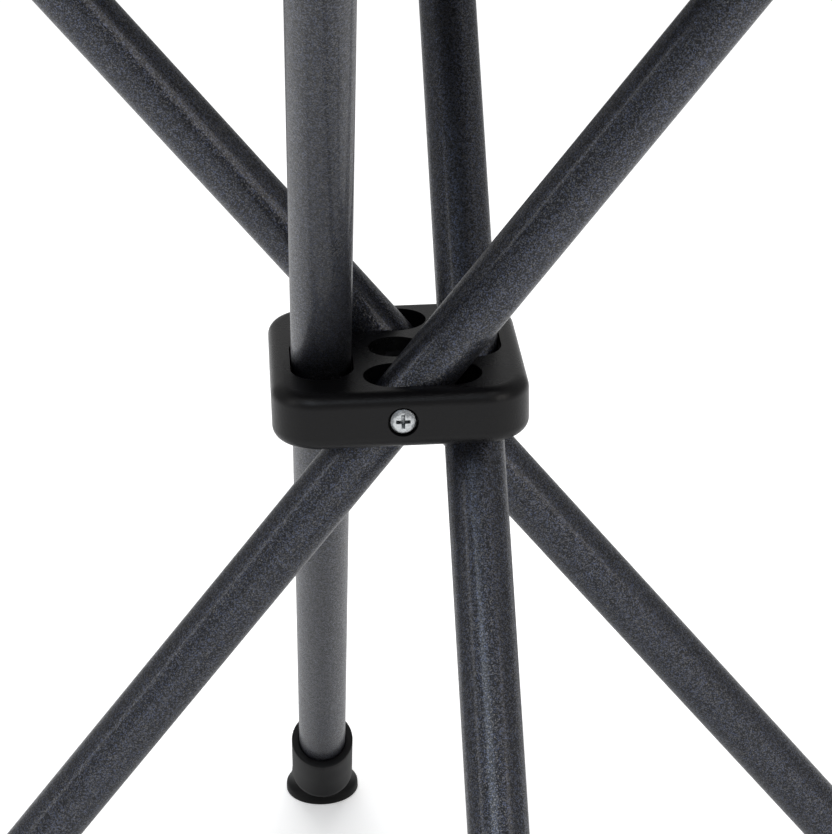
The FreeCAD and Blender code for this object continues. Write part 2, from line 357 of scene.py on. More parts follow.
def powder_coat():
    """Anthracite powder coat with fine metal flake."""
    material, w, shader = start_material("anthracite flake powder coat", (0.03, 0.032, 0.038),
                                         Coat_Weight=0.24, Coat_Roughness=0.12)
    place = w.object_place()
    flake = w.add("ShaderNodeGroup", {"Place": place, "Flakes per metre": 3600.0, "Share": 0.6,
                                      "Tilt": 0.30}, node_tree=FLAKE)
    grain = w.add("ShaderNodeGroup", {"Place": place, "Grain per metre": 900.0}, node_tree=GRAIN)
    film = w.blend_colour(grain.outputs["Patches"], (0.010, 0.0105, 0.013, 1), (0.015, 0.0155, 0.018, 1))
    coloured = w.blend_colour(flake.outputs["Flake"], film, flake.outputs["Tint"])
    metal = w.blend_value(flake.outputs["Flake"], 0.65, 1.0)
    rough = w.blend_value(grain.outputs["Patches"], 0.38, 0.50)
    w.feed(shader, Base_Color=coloured, Metallic=metal, Roughness=rough)
    w.bump(shader, grain.outputs["Height"], 0.12, 0.1 * MM, Normal=flake.outputs["Normal"])
    return material


def moulded_plastic(name, colour, worn, roughness):
    material, w, shader = start_material(name, colour, Specular_IOR_Level=0.21)
    grained(w, shader, colour, worn, roughness, 0.07, 2300.0, 0.8, 0.09 * MM, 0.09)
    return material


def zinc_plate():
    """Bright zinc plate, a little mottled."""
    material, w, shader = start_material("bright zinc plate", (0.78, 0.80, 0.82), Metallic=1.0)
    grained(w, shader, (0.60, 0.62, 0.63), (0.24, 0.25, 0.26), 0.30, 0.12, 2600.0, 1.0, 0.16 * MM, 0.30)
    return material


def nut_steel_in_painted_shade():
    """Steel painted near black as the shade inside the centre hole, faintly mottled and oily."""
    material, w, shader = start_material("black oxide steel", (0.03, 0.03, 0.032), Metallic=0.8)
    grained(w, shader, (0.022, 0.022, 0.025), (0.09, 0.088, 0.085), 0.42, 0.10, 3000.0, 0.3, 0.03 * MM, 0.1)
    return material


def foot_rubber():
    """Black rubber with a dull moulded skin and dust near the floor."""
    material, w, shader = start_material("moulded foot rubber", (0.004, 0.004, 0.0045),
                                         Specular_IOR_Level=0.15)
    place, grain = grained(w, shader, (0.0042, 0.0042, 0.0046), (0.016, 0.0155, 0.015),
                           0.52, 0.08, 1800.0, 0.3, 0.06 * MM, 0.1)
    height = w.add("ShaderNodeSeparateXYZ", {0: place}).outputs[2]
    low = w.add("ShaderNodeMapRange", {0: height, 1: 0.0, 2: 2.5 * MM, 3: 1.0, 4: 0.0})
    dust = w.math("MULTIPLY", low.outputs[0], w.math("MULTIPLY", grain.outputs["Patches"], 0.22))
    clean = shader.inputs["Base Color"].links[0].from_socket
    w.feed(shader, Base_Color=w.blend_colour(dust, clean, (0.10, 0.095, 0.085, 1)))
    return material


def woven_cloth():
    """Coarse black polyester in plain weave."""
    material, w, shader = start_material("coarse woven polyester", (0.016, 0.017, 0.020),
                                         Sheen_Weight=0.06, Sheen_Roughness=0.4,
                                         Specular_IOR_Level=0.22)
    uv = w.cloth_place()
    weave = w.add("ShaderNodeGroup", {"Cloth place": uv}, node_tree=WEAVE)
    slubs = w.noise(uv, 260.0, 4.0)
    fade = w.noise(uv, 22.0, 3.0)
    # Painted shade: the warp gets a darker tone than the weft, for light falling differently on threads laid
    # two ways. The slub variation is real.
    warp = w.blend_colour(slubs, (0.006, 0.0065, 0.008, 1), (0.013, 0.0135, 0.016, 1))
    weft = w.blend_colour(slubs, (0.009, 0.0095, 0.011, 1), (0.017, 0.0175, 0.020, 1))
    threads = w.blend_colour(weave.outputs["Over"], weft, warp)
    lit = w.blend_colour(w.math("MULTIPLY", fade, 0.35), threads, (0.024, 0.0245, 0.027, 1))
    w.feed(shader, Base_Color=lit, Roughness=w.blend_value(weave.outputs["Height"], 0.85, 0.6))
    w.bump(shader, weave.outputs["Height"], 0.7, 0.22 * MM)
    return material


def patch_leatherette():
    """Black coated cloth with a pebbled face, for the corner patches."""
    material, w, shader = start_material("pebbled black leatherette", (0.014, 0.014, 0.015),
                                         Specular_IOR_Level=0.3)
    uv = w.cloth_place()
    pebbles = w.add("ShaderNodeTexVoronoi", {"Vector": uv, "Scale": 900.0}, feature="SMOOTH_F1")
    rub = w.noise(uv, 60.0, 5.0)
    colour = w.blend_colour(rub, (0.005, 0.005, 0.0055, 1), (0.014, 0.0138, 0.0135, 1))
    w.feed(shader, Base_Color=colour, Roughness=w.blend_value(rub, 0.38, 0.6))
    w.bump(shader, pebbles.outputs["Distance"], 0.5, 0.15 * MM, invert=True)
    return material


def sewing_thread():
    """Bonded polyester thread with spiral plies, painted darker in their grooves and lighter on their crowns
    as shade and highlight.
    """
    material, w, shader = start_material("charcoal sewing thread", (0.05, 0.05, 0.055),
                                         Sheen_Weight=0.3, Specular_IOR_Level=0.5)
    place = w.object_place()
    twist_shade = w.add("ShaderNodeTexWave", {"Vector": place, "Scale": 900.0, "Distortion": 1.5},
                  bands_direction="DIAGONAL").outputs["Fac"]
    # Painted shade and highlight: the colour darkens in the ply grooves and lightens on the ply crowns,
    # following the bump.
    colour = w.blend_colour(twist_shade, (0.035, 0.035, 0.04, 1), (0.085, 0.085, 0.09, 1))
    w.feed(shader, Base_Color=colour, Roughness=w.blend_value(twist_shade, 0.55, 0.4))
    w.bump(shader, twist_shade, 0.4, 0.05 * MM)
    return material


POWDER_COAT = powder_coat()
HUB_PLASTIC = moulded_plastic("satin black hub moulding", (0.0040, 0.0038, 0.0042),
                              (0.05, 0.05, 0.052), 0.28)
CAP_PLASTIC = moulded_plastic("black end plug moulding", (0.014, 0.014, 0.015), (0.04, 0.04, 0.04), 0.5)
BUSH_PLASTIC = moulded_plastic("natural acetal", (0.72, 0.70, 0.66), (0.60, 0.58, 0.54), 0.4)
ZINC = zinc_plate()
# The pivot nuts' near-black colour is painted shade for the dark inside of the centre hole.
NUT_STEEL_IN_PAINTED_SHADE = nut_steel_in_painted_shade()
RUBBER = foot_rubber()
CLOTH = woven_cloth()
LEATHERETTE = patch_leatherette()
THREAD = sewing_thread()

NODE_FINISHES = {
    "hub_block": HUB_PLASTIC,
    "leg_tube": POWDER_COAT,
    # near-black nut colour: painted shade inside the centre hole
    "pivot_nut": NUT_STEEL_IN_PAINTED_SHADE,
    "pivot_bush": BUSH_PLASTIC,
    "top_cap": CAP_PLASTIC,
}


def finish_cad_nodes():
    for name, node in frame["nodes"].items():
        for start, material in NODE_FINISHES.items():
            if name.startswith(start):
                node.data.materials.clear()
                node.data.materials.append(material)


# ---------------- rubber feet

FOOT_AROUND = 128
BEND_STEPS = 14
# Underside and flange of the sole, as (radius, height) in millimetres: three tread rings, then the edge.
SOLE_PROFILE = [(2.2, 0.7), (2.6, 0.0), (4.9, 0.0), (5.2, 0.7), (6.2, 0.7), (6.5, 0.0), (8.7, 0.0),
                (9.0, 0.7), (10.0, 0.7), (10.3, 0.0), (12.1, 0.0), (12.55, 0.15), (12.85, 0.6),
                (12.85, 1.6), (12.82, 2.5), (12.7, 3.1), (12.45, 3.55), (12.1, 3.95), (11.75, 4.4),
                (11.45, 5.0), (11.2, 5.7)]


def foot_ring(middle, normal, radius, fin=0.0):
    """Circle of points square to a direction in the leg's plane, with a mould fin at front and back."""
    across = Vector((normal.z, 0, -normal.x))
    points = []
    for k in range(FOOT_AROUND):
        turn = 2 * math.pi * k / FOOT_AROUND
        local = radius + (fin if k % (FOOT_AROUND // 2) == 0 else 0)
        points.append(middle + across * (local * math.cos(turn)) + SIDEWAYS * (local * math.sin(turn)))
    return points


def foot_points():
    up = Vector((0, 0, 1))
    rings = [foot_ring(SOLE_MIDDLE + up * (h * MM), up, r * MM) for r, h in SOLE_PROFILE]
    neck = SOLE_MIDDLE + Vector((NECK_SHIFT, 0, NECK_HEIGHT))
    bend = SOLE_MIDDLE + LEG_DIR * FOOT_BEND
    pull = neck + up * (3 * MM)
    for k in range(BEND_STEPS + 1):
        t = k / BEND_STEPS
        middle = neck * (1 - t) ** 2 + pull * (2 * t * (1 - t)) + bend * t * t
        lean = LEAN * (t * t * (3 - 2 * t))
        normal = Vector((math.sin(lean), 0, math.cos(lean)))
        radius = NECK_R + (FOOT_R - NECK_R) * t
        rings.append(foot_ring(middle, normal, radius, 0.05 * MM * t))
    rim_round = 0.7 * MM
    for distance in np.linspace(FOOT_BEND + 2 * MM, FOOT_RIM - rim_round, 10):
        rings.append(foot_ring(SOLE_MIDDLE + LEG_DIR * float(distance), LEG_DIR, FOOT_R, 0.07 * MM))
    for k in range(1, 5):
        turn = math.pi / 2 * k / 4
        distance = FOOT_RIM - rim_round * (1 - math.sin(turn))
        radius = FOOT_R - rim_round * (1 - math.cos(turn))
        rings.append(foot_ring(SOLE_MIDDLE + LEG_DIR * distance, LEG_DIR, radius))
    for radius, drop in ((8.6, 0.0), (8.25, 0.1), (8.05, 0.45), (8.01, 1.5), (8.01, 12.0)):
        distance = FOOT_RIM - drop * MM
        rings.append(foot_ring(SOLE_MIDDLE + LEG_DIR * distance, LEG_DIR, radius * MM))
    rings.append(foot_ring(SOLE_MIDDLE + LEG_DIR * TUBE_END, LEG_DIR, TUBE_R))
    return rings


def rubber_foot(index, side, rings):
    turn = side_turn(index)
    verts = [turn @ p for ring in rings for p in ring]
    name = f"rubber_foot_{side}"
    piece = new_piece(name, verts, ring_faces(len(rings), FOOT_AROUND), RUBBER, f"leg_{side}")
    sharpen(piece, 42)
    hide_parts(f"foot_{side}")


# ---------------- pivot screws

SCREW_AROUND = 64
# Head's outline from the middle of its face, as (radius, distance in from the face) in millimetres.
HEAD_PROFILE = [(0.9, 0.0), (1.7, 0.04), (2.4, 0.12), (2.9, 0.23), (3.2, 0.36), (3.4, 0.54),
                (3.52, 0.80), (3.57, 1.15), (3.57, 2.3), (3.45, 2.45), (2.4, 2.45)]
CROSS_REACH = 1.95 * MM
CROSS_HALF_WIDTH = 0.48 * MM
CROSS_DEPTH = 1.8 * MM


def screw_ring(radius, y, threaded=False):
    points = []
    for k in range(SCREW_AROUND):
        turn = 2 * math.pi * k / SCREW_AROUND
        local = radius
        if threaded:
            wave = (y / THREAD_PITCH + k / SCREW_AROUND) % 1.0
            local = radius - THREAD_DEPTH * abs(2 * wave - 1)
        points.append(Vector((local * math.cos(turn), y, PIVOT_HEIGHT + local * math.sin(turn))))
    return points


def screw_rings():
    face = -(HEAD_SEAT + HEAD_HEIGHT)
    rings = [screw_ring(r * MM, face + d * MM) for r, d in HEAD_PROFILE]
    rings.append(screw_ring(SCREW_R, -HEAD_SEAT + 0.3 * MM))
    tip = -HEAD_SEAT + SCREW_LENGTH
    thread_start = tip - 6 * MM
    rings.append(screw_ring(SCREW_R, thread_start - 0.2 * MM))
    for y in np.arange(thread_start, tip - 0.4 * MM, THREAD_PITCH / 8):
        rings.append(screw_ring(SCREW_R, float(y), threaded=True))
    rings.append(screw_ring(SCREW_R - 0.55 * MM, tip))
    return rings


def cross_cutter():
    """Tapered cross that is cut into each screw head."""
    face = -(HEAD_SEAT + HEAD_HEIGHT)
    bm = bmesh.new()
    for swap in (False, True):
        corners = []
        for depth, reach, width in ((-0.4 * MM, CROSS_REACH * 1.12, CROSS_HALF_WIDTH * 1.1),
                                    (CROSS_DEPTH, CROSS_REACH * 0.42, CROSS_HALF_WIDTH * 0.6)):
            for a, b in ((-1, -1), (1, -1), (1, 1), (-1, 1)):
                x, z = (a * reach, b * width) if not swap else (a * width, b * reach)
                corners.append(bm.verts.new((x, face + depth, PIVOT_HEIGHT + z)))
        low, high = corners[:4], corners[4:]
        bm.faces.new(low)
        bm.faces.new(list(reversed(high)))
        for k in range(4):
            after = (k + 1) % 4
            bm.faces.new((low[after], low[k], high[k], high[after]))
    bmesh.ops.recalc_face_normals(bm, faces=bm.faces)
    mesh = bpy.data.meshes.new("cross cutter")
    bm.to_mesh(mesh)
    bm.free()
    return new_object("cross cutter", mesh)


def cut_cross(piece, cutter):
    cut = piece.modifiers.new("cross recess", "BOOLEAN")
    cut.operation = "DIFFERENCE"
    cut.object = cutter
    cut.solver = "EXACT"
    cut.use_self = True
    depsgraph = bpy.context.evaluated_depsgraph_get()
    mesh = bpy.data.meshes.new_from_object(piece.evaluated_get(depsgraph))
    piece.modifiers.clear()
    piece.data = mesh


def pivot_screws():
    rings = screw_rings()
    faces = ring_faces(len(rings), SCREW_AROUND)
    verts = [p for ring in rings for p in ring]
    first = new_piece("screw_front", verts, faces, ZINC, "hub")
    cutter = cross_cutter()
    cut_cross(first, cutter)
    bpy.data.objects.remove(cutter)
    sharpen(first, 35)
    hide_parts("pivot_screw_front")
    for index, side in enumerate(SIDES[1:], 1):
        piece = new_object(f"screw_{side}", first.data.copy())
        piece.data.transform(side_turn(index) @ Matrix.Translation(PIVOT)
                             @ Matrix.Rotation(0.35 * index, 4, "Y") @ Matrix.Translation(-PIVOT))
        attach(piece, "hub")
        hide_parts(f"pivot_screw_{side}")


# ---------------- seat cloth as one surface

SIM_STEPS = 60      # squares along the seat's side in the simulated cloth
SIM_FRAMES = 30
HELD_MARGIN = 1.5 * MM      # cloth this far inside the sewn edge is held too
CLOTH_SETTINGS = {"quality": 8, "mass": 0.15, "tension_stiffness": 60, "compression_stiffness": 25,
                  "shear_stiffness": 12, "bending_stiffness": 0.6, "air_damping": 4}


def seat_to_world(p, q):
    """Flat place on the seat, along its sides from its middle, to X and Y."""
    a = SEAT_TURN - math.pi / 4
    return p * math.cos(a) - q * math.sin(a), p * math.sin(a) + q * math.cos(a)


def tent_height(p, q):
    """Height of the seat if it were four flat quarters."""
    out = (abs(p) + abs(q)) / math.sqrt(2)
    return SEAT_CORNER.z - SEAT_SLOPE * (SEAT_DIAGONAL - out)


def relaxed_seat():
    """Seat's surface as a grid of points: the cloth hung by its four corners, starting from flat quarters.
    """
    side = np.linspace(-SEAT_HALF, SEAT_HALF, SIM_STEPS + 1)
    points = np.zeros((SIM_STEPS + 1, SIM_STEPS + 1, 3))
    for i, p in enumerate(side):
        for j, q in enumerate(side):
            x, y = seat_to_world(p, q)
            points[i, j] = (x, y, tent_height(p, q))
    count = SIM_STEPS + 1
    verts = points.reshape(-1, 3)
    faces = [(i * count + j, (i + 1) * count + j, (i + 1) * count + j + 1, i * count + j + 1)
             for i in range(SIM_STEPS) for j in range(SIM_STEPS)]
    cloth = new_object("hung cloth", new_mesh("hung cloth", verts, faces))
    held = cloth.vertex_groups.new(name="sewn corners")
    for i, p in enumerate(side):
        for j, q in enumerate(side):
            if (abs(p) + abs(q)) / math.sqrt(2) >= SEAM_OUT - HELD_MARGIN:
                held.add([i * count + j], 1.0, "REPLACE")
    modifier = cloth.modifiers.new("cloth", "CLOTH")
    for key, value in CLOTH_SETTINGS.items():
        setattr(modifier.settings, key, value)
    modifier.settings.vertex_group_mass = held.name
    modifier.collision_settings.use_collision = False
    modifier.collision_settings.use_self_collision = False
    modifier.point_cache.frame_start = 1
    modifier.point_cache.frame_end = SIM_FRAMES
    scene = bpy.context.scene
    for number in range(1, SIM_FRAMES + 1):
        scene.frame_set(number)
    evaluated = cloth.evaluated_get(bpy.context.evaluated_depsgraph_get())
    hung = np.zeros(len(verts) * 3)
    evaluated.data.vertices.foreach_get("co", hung)
    bpy.data.objects.remove(cloth)
    scene.frame_set(1)
    return hung.reshape(count, count, 3)


class SeatSurface:
    """Smooth surface through the seat's grid of points."""

    def __init__(self, grid):
        self.grid = grid
        self.step = 2 * SEAT_HALF / SIM_STEPS

    @staticmethod
    def weights(t):
        return np.array([-0.5 * t + t * t - 0.5 * t ** 3, 1 - 2.5 * t * t + 1.5 * t ** 3,
                         0.5 * t + 2 * t * t - 1.5 * t ** 3, -0.5 * t * t + 0.5 * t ** 3])

    def place(self, p, q):
        u = min(max((p + SEAT_HALF) / self.step, 0), SIM_STEPS - 1e-9)
        v = min(max((q + SEAT_HALF) / self.step, 0), SIM_STEPS - 1e-9)
        i, j = int(u), int(v)
        rows = np.clip(np.arange(i - 1, i + 3), 0, SIM_STEPS)
        cols = np.clip(np.arange(j - 1, j + 3), 0, SIM_STEPS)
        patch = self.grid[np.ix_(rows, cols)]
        return np.einsum("a,b,abk->k", self.weights(u - i), self.weights(v - j), patch)

    def normal(self, p, q):
        reach = 1.5 * MM
        along_p = self.place(p + reach, q) - self.place(p - reach, q)
        along_q = self.place(p, q + reach) - self.place(p, q - reach)
        across = np.cross(along_p, along_q)
        return across / np.linalg.norm(across)


def edge_distance(p, q):
    return SEAT_HALF - max(abs(p), abs(q))


def hem_share(p, q):
    """0 in the open cloth, 1 in the hem."""
    return float(1 - smooth_step(edge_distance(p, q), HEM_WIDTH - 0.5 * MM, HEM_WIDTH + 0.7 * MM))


def rolled(distance, radius):
    """Share of full thickness this far in from a rolled edge."""
    if distance >= radius:
        return 1.0
    return max(math.sqrt(max(1 - (1 - distance / radius) ** 2, 0)), 0.12)


def hem_pucker(p, q):
    """Small waves that the stitching draws into the hem."""
    along = p if abs(q) > abs(p) else q
    near = math.exp(-((edge_distance(p, q) - HEM_WIDTH * 0.85) / (4 * MM)) ** 2)
    wave = math.sin(along * 2 * math.pi / (7.7 * MM)) + 0.6 * math.sin(along * 2 * math.pi / (12.3 * MM) + 1)
    return 0.16 * MM * near * wave


def top_of_cloth(surface, p, q, lift=0.0):
    """Point on the cloth's upper face, its normal and how far it stands off the middle surface."""
    normal = surface.normal(p, q)
    share = rolled(edge_distance(p, q), 0.9 * MM)
    up = (CLOTH_THICKNESS / 2 + 0.15 * HEM_EXTRA * hem_share(p, q)) * share + hem_pucker(p, q) + lift
    return surface.place(p, q) + normal * up, normal


def bottom_of_cloth(surface, p, q):
    share = rolled(edge_distance(p, q), 0.9 * MM)
    down = (CLOTH_THICKNESS / 2 + 0.85 * HEM_EXTRA * hem_share(p, q)) * share - hem_pucker(p, q)
    return surface.place(p, q) - surface.normal(p, q) * down


def cloth_face(surface, p, q, below):
    """Point on the cloth's upper or lower face, and the way out of that face."""
    if below:
        return bottom_of_cloth(surface, p, q), -surface.normal(p, q)
    return top_of_cloth(surface, p, q)


QUARTER_SIGNS = {"front": (1, 1), "right": (-1, 1), "back": (-1, -1), "left": (1, -1)}


def quarter_flat_mesh():
    """Flat quarter of the seat with its corner cut off, as points and faces."""
    open_cloth = np.linspace(0, SEAT_HALF - HEM_WIDTH - 3 * MM, 40)
    hem = SEAT_HALF - np.array([13.6, 12.8, 12.2, 11.6, 11.0, 9.5, 8.0, 6.5, 5.0, 3.6, 2.4, 1.5,
                                0.9, 0.5, 0.2, 0.0]) * MM
    lines = np.concatenate([open_cloth, hem])
    bm = bmesh.new()
    grid = [[bm.verts.new((p, q, 0)) for q in lines] for p in lines]
    for i in range(len(lines) - 1):
        for j in range(len(lines) - 1):
            bm.faces.new((grid[i][j], grid[i + 1][j], grid[i + 1][j + 1], grid[i][j + 1]))
    cut = SEAM_OUT / math.sqrt(2)
    bmesh.ops.bisect_plane(bm, geom=bm.verts[:] + bm.edges[:] + bm.faces[:], plane_co=(cut, cut, 0),
                           plane_no=(1, 1, 0), clear_outer=True, dist=0.05 * MM)
    bmesh.ops.remove_doubles(bm, verts=bm.verts, dist=0.05 * MM)
    bm.verts.index_update()
    points = [(v.co.x, v.co.y) for v in bm.verts]
    faces = [[v.index for v in f.verts] for f in bm.faces]
    rim = [[loop.vert.index, loop.link_loop_next.vert.index]
           for e in bm.edges if len(e.link_loops) == 1 for loop in e.link_loops]
    bm.free()
    return points, faces, rim


def two_sided(count, faces, rim):
    """Faces of a closed sheet whose upper points come first and lower points follow in the same order."""
    both = [tuple(f) for f in faces] + [tuple(k + count for k in reversed(f)) for f in faces]
    both += [(b, a, a + count, b + count) for a, b in rim]
    return both


def fold_with_seat(piece, side, keep, aside):
    """Gives the piece its own copy of its mesh."""
    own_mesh(piece)


def seat_quarter(surface, side, flat):
    points, faces, rim = flat
    sign_p, sign_q = QUARTER_SIGNS[side]
    places = [(p * sign_p, q * sign_q) for p, q in points]
    if sign_p * sign_q < 0:
        faces = [list(reversed(f)) for f in faces]
        rim = [(b, a) for a, b in rim]
    verts = [top_of_cloth(surface, p, q)[0] for p, q in places]
    verts += [bottom_of_cloth(surface, p, q) for p, q in places]
    uvs = places + places
    piece = new_piece(f"seat_cloth_{side}", verts, two_sided(len(places), faces, rim), CLOTH,
                      f"seat_{side}", uvs)
    shade_like_whole(piece, surface, places)
    return piece


def shade_like_whole(piece, surface, places):
    """Gives a quarter the shading of the whole seat, so that no line shows where quarters meet."""
    mesh = piece.data
    count = len(places)
    near_cut = [min(abs(p), abs(q)) < 0.2 * MM for p, q in places]
    edge = [edge_distance(p, q) < 1.0 * MM for p, q in places]
    normals = [tuple(corner.vector) for corner in mesh.corner_normals]
    tops = {}
    for face in mesh.polygons:
        flat_face = all(k < count for k in face.vertices) or all(k >= count for k in face.vertices)
        for loop_index in face.loop_indices:
            vertex = mesh.loops[loop_index].vertex_index
            own = vertex % count
            if flat_face and near_cut[own] and not edge[own]:
                if own not in tops:
                    tops[own] = surface.normal(*places[own])
                way = 1 if vertex < count else -1
                normals[loop_index] = tuple(way * c for c in tops[own])
    mesh.normals_split_custom_set(normals)


# ---------------- corner patches, tabs and stitching

def corner_place(side, out, across):
    """Flat place on the seat from a distance out along a corner's diagonal and a distance across it."""
    sign_p, sign_q = QUARTER_SIGNS[side]
    return sign_p * (out + across) / math.sqrt(2), sign_q * (out - across) / math.sqrt(2)


def strip_on_seat(surface, side, outs, below):
    """Points of a strip that lies on the cloth, in rows along a corner's diagonal."""
    lines = np.concatenate([[-1.0, -0.985, -0.95], np.linspace(-0.85, 0.85, 15), [0.95, 0.985, 1.0]])
    outer, inner, places = [], [], []
    for row, out in enumerate(outs):
        end_in = min(row, len(outs) - 1 - row)
        for line in lines:
            width = patch_half_width(out)
            p, q = corner_place(side, out, line * width)
            margin = min((1 - abs(line)) * width, abs(outs[end_in] - outs[0]) if end_in < 4 else 1)
            stand = PATCH_THICKNESS * rolled(margin, PATCH_EDGE_ROUND)
            base, normal = cloth_face(surface, p, q, below)
            outer.append(base + normal * (PATCH_GAP + stand))
            inner.append(base + normal * PATCH_GAP)
            places.append((p, q))
    return outer, inner, places, len(lines)


def closed_strip(rows, columns):
    faces = [(r * columns + c, (r + 1) * columns + c, (r + 1) * columns + c + 1, r * columns + c + 1)
             for r in range(rows - 1) for c in range(columns - 1)]
    rim = [(r * columns, (r + 1) * columns) for r in range(rows - 1)]
    rim += [((r + 1) * columns + columns - 1, r * columns + columns - 1) for r in range(rows - 1)]
    rim += [(c + 1, c) for c in range(columns - 1)]
    rim += [((rows - 1) * columns + c, (rows - 1) * columns + c + 1) for c in range(columns - 1)]
    return faces, rim


def consistent(piece):
    """Turns all faces outwards."""
    bm = bmesh.new()
    bm.from_mesh(piece.data)
    bmesh.ops.recalc_face_normals(bm, faces=bm.faces)
    bm.to_mesh(piece.data)
    bm.free()


def strip_piece(name, side, material, outer, inner, places, columns):
    faces, rim = closed_strip(len(outer) // columns, columns)
    piece = new_piece(name, outer + inner, two_sided(len(outer), faces, rim), material, f"seat_{side}",
                      places + places)
    consistent(piece)
    return piece


def patch_half_width(out):
    return SEAT_DIAGONAL - out - 1.6 * MM


def corner_patch(surface, side, below):
    inner_out = SEAM_OUT - PATCH_LENGTH
    outs = [inner_out, inner_out + 0.2 * MM, inner_out + 0.6 * MM]
    outs += list(np.linspace(inner_out + 2 * MM, SEAM_OUT - 2 * MM, 18))
    outs += [SEAM_OUT - 0.6 * MM, SEAM_OUT - 0.2 * MM, SEAM_OUT]
    where = "under" if below else "over"
    return strip_piece(f"corner_patch_{where}_{side}", side, LEATHERETTE,
                       *strip_on_seat(surface, side, outs, below))


class StitchMaker:
    """Collects stitches, each a short rounded bar of thread that dips into the cloth at its ends."""

    AROUND = 6
    # Rings of one stitch, as (share of its length, rise and radius in thread radii).
    STATIONS = [(0.0, -0.6, 0.45), (0.12, 0.25, 0.9), (0.5, 0.7, 1.0), (0.88, 0.25, 0.9),
                (1.0, -0.6, 0.45)]

    def __init__(self):
        self.verts, self.faces = [], []

    def stitch(self, start, end, normal):
        along = end - start
        length = np.linalg.norm(along)
        along = along / length
        side = np.cross(normal, along)
        side = side / np.linalg.norm(side)
        first = len(self.verts)
        for share, rise, fat in self.STATIONS:
            middle = start + along * (length * share) + normal * (rise * THREAD_R)
            for k in range(self.AROUND):
                turn = 2 * math.pi * k / self.AROUND
                self.verts.append(middle + side * (THREAD_R * fat * math.cos(turn))
                                  + normal * (THREAD_R * fat * math.sin(turn)))
        faces = ring_faces(len(self.STATIONS), self.AROUND)
        self.faces += [tuple(first + n for n in f) for f in faces]

    def row(self, point_at, length):
        """Stitches along a line: point_at gives a point and normal at each distance."""
        pitch = STITCH_LENGTH + STITCH_GAP
        count = max(int(length / pitch), 1)
        real = length / count
        for k in range(count):
            start, normal = point_at(k * real)
            end, _ = point_at(k * real + real * STITCH_LENGTH / pitch)
            self.stitch(start, end, normal)

    def piece(self, name, body):
        made = new_piece(name, self.verts, self.faces, THREAD, body)
        consistent(made)
        return made


def straight_line(point_at, start, end, length):
    """Line for a row of stitches between two flat places."""
    def at(distance):
        t = distance / length
        return point_at(*(a + (b - a) * t for a, b in zip(start, end)))
    return at


def seat_stitching(surface, side):
    maker = StitchMaker()
    sign_p, sign_q = QUARTER_SIGNS[side]
    for inset in HEM_STITCH_INSETS:
        fixed = SEAT_HALF - inset
        length = min(SEAM_OUT * math.sqrt(2) - fixed, fixed) - 2 * MM
        for swap in (False, True):
            def hem_line(distance, swap=swap, fixed=fixed):
                p, q = (fixed, distance + 1 * MM) if not swap else (distance + 1 * MM, fixed)
                return top_of_cloth(surface, sign_p * p, sign_q * q)
            maker.row(hem_line, length)
    lift = PATCH_THICKNESS + PATCH_GAP
    edge_in = 2.6 * MM
    low, high = SEAM_OUT - PATCH_LENGTH + edge_in, SEAM_OUT - edge_in
    corners = [(low, patch_half_width(low) - edge_in), (high, patch_half_width(high) - edge_in),
               (high, -patch_half_width(high) + edge_in), (low, -patch_half_width(low) + edge_in)]
    lines = list(zip(corners, corners[1:] + corners[:1]))
    lines += [(corners[0], corners[2]), (corners[1], corners[3])]

    def patch_point(out, across):
        return top_of_cloth(surface, *corner_place(side, out, across), lift)
    for start, end in lines:
        length = math.hypot(end[0] - start[0], end[1] - start[1])
        maker.row(straight_line(patch_point, start, end, length), length)
    return maker.piece(f"seat_stitching_{side}", f"seat_{side}")


# ---------------- pockets over the tube ends

POCKET_AROUND = 96


def pocket_outer_radius(turn, distance):
    """Radius of the pocket's outside, with its side seams, mouth hem and soft wrinkles."""
    hem = 1 - smooth_step(distance - POCKET_MOUTH, POCKET_HEM - 0.5 * MM, POCKET_HEM + 0.7 * MM)
    seam = math.exp(-((abs(math.sin(turn)) - 1) / 0.006) ** 2)
    wrinkle = math.sin(3 * turn + distance * 420) * math.sin(distance * 260 + 1.3)
    fine = math.sin(7 * turn - distance * 900 + 0.7) * 0.4
    body = smooth_step(distance - POCKET_MOUTH, POCKET_HEM, 2 * POCKET_HEM)
    return (POCKET_R - 0.25 * MM + 0.45 * MM * float(hem) + 0.55 * MM * seam
            + 0.16 * MM * float(body) * (wrinkle + fine))


def pocket_ring(distance, radius_at):
    middle = PIVOT + LEG_DIR * distance
    points = []
    for k in range(POCKET_AROUND):
        turn = 2 * math.pi * k / POCKET_AROUND
        radius = radius_at(turn)
        points.append(middle + LEG_DOWN_SIDE * (radius * math.cos(turn))
                      + SIDEWAYS * (radius * math.sin(turn)))
    return points


def pocket_rings():
    rings = [pocket_ring(POCKET_MOUTH + 20 * MM, lambda turn: POCKET_BORE_R),
             pocket_ring(POCKET_MOUTH + 0.6 * MM, lambda turn: POCKET_BORE_R)]
    for share in (0.15, 0.5, 0.85):
        radius = POCKET_BORE_R + (POCKET_R - POCKET_BORE_R) * share
        dip = 0.35 * MM * (1 - (2 * share - 1) ** 2)
        rings.append(pocket_ring(POCKET_MOUTH + 0.4 * MM - dip, lambda turn, r=radius: r))
    shoulder = POCKET_TOP - 2.2 * MM
    for distance in map(float, np.linspace(POCKET_MOUTH + 0.5 * MM, shoulder, 64)):
        rings.append(pocket_ring(distance, lambda turn, d=distance: pocket_outer_radius(turn, d)))
    for k in range(1, 10):
        bow = math.pi / 2 * k / 9
        distance = shoulder + 2.2 * MM * math.sin(bow)

        def domed(turn, bow=bow):
            full = pocket_outer_radius(turn, shoulder)
            return full * (0.35 + 0.65 * math.cos(bow)) if bow < math.pi / 2 - 0.01 else full * 0.35
        rings.append(pocket_ring(distance, domed))
    rings.append(pocket_ring(POCKET_TOP + 0.15 * MM, lambda turn: 1.2 * MM))
    return rings


